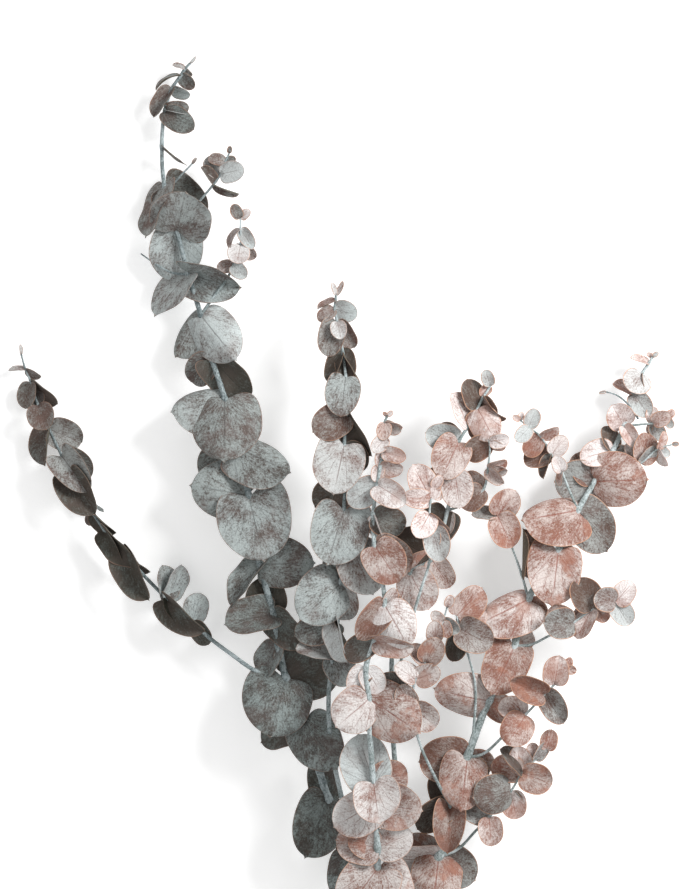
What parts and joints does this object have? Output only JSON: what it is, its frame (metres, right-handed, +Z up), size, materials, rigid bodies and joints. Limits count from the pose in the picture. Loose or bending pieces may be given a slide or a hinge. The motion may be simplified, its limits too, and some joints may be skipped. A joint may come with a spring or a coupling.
{
  "type": "eucalyptus branch",
  "caption": "Cut branch of round-leaved eucalyptus, lying down, with forked stems and opposite pairs of stalkless round leaves.",
  "frame": {"origin": "on the surface that the branch lies on, under the middle of its box", "axes": "+Y from the cut end towards the tips, +Z up from the surface, +X to the right when seen from above"},
  "size_m": [0.4618, 0.6522, 0.0848],
  "materials": {
    "stem": "matt blue-grey waxy bark with dark specks",
    "green_leaf": "matt dark green-grey leaf with a pale waxy bloom",
    "pink_leaf": "matt pinkish brown leaf with a pale waxy bloom and thin red veins"
  },
  "bodies": {
    "root": {"bottom_right_twig": "stem", "centre_leader": "stem", "centre_leader_leaves_11": "green_leaf", "centre_leader_leaves_12": "green_leaf", "centre_leader_leaves_7": "green_leaf", "centre_leader_leaves_8": "green_leaf", "centre_leader_leaves_9": "green_leaf", "centre_right_twig": "stem", "dark_bud_twig": "stem", "front_leader": "stem", "front_leader_leaves_10": "pink_leaf", "front_leader_leaves_2": "pink_leaf", "front_leader_leaves_4": "pink_leaf", "front_leader_leaves_5": "pink_leaf", "front_leader_leaves_7": "pink_leaf", "front_right_twig": "stem", "inner_front_twig": "stem", "inner_right_twig": "stem", "left_bare_twig": "stem", "left_bud_twig": "stem", "left_leader": "stem", "left_leader_leaves_10": "green_leaf", "left_leader_leaves_11": "green_leaf", "left_leader_leaves_12": "green_leaf", "left_leader_leaves_13": "green_leaf", "left_leader_leaves_14": "green_leaf", "left_leader_leaves_15": "green_leaf", "left_leader_leaves_16": "green_leaf", "left_leader_leaves_17": "green_leaf", "left_leader_leaves_2": "green_leaf", "left_leader_leaves_3": "green_leaf", "left_leader_leaves_5": "green_leaf", "left_leader_leaves_6": "green_leaf", "left_leader_leaves_8": "green_leaf", "left_leader_leaves_9": "green_leaf", "left_tip_twig": "stem", "low_left_shoot": "stem", "low_left_shoot_leaves_10": "green_leaf", "low_left_shoot_leaves_5": "green_leaf", "low_left_shoot_leaves_6": "green_leaf", "low_left_shoot_leaves_7": "green_leaf", "low_left_shoot_leaves_9": "green_leaf", "main_stem": "stem", "main_stem_leaves_10": "pink_leaf", "main_stem_leaves_11": "pink_leaf", "main_stem_leaves_12": "pink_leaf", "main_stem_leaves_3": "pink_leaf", "main_stem_leaves_4": "pink_leaf", "main_stem_leaves_5": "pink_leaf", "main_stem_leaves_6": "pink_leaf", "main_stem_leaves_8": "pink_leaf", "main_stem_leaves_9": "pink_leaf", "right_centre_leader": "stem", "right_inner_twig": "stem", "right_low_twig": "stem", "right_middle_twig": "stem", "right_side_twig": "stem", "right_tip_twig": "stem", "right_upper_twig": "stem", "upper_left_twig": "stem"}
  },
  "joints": []
}
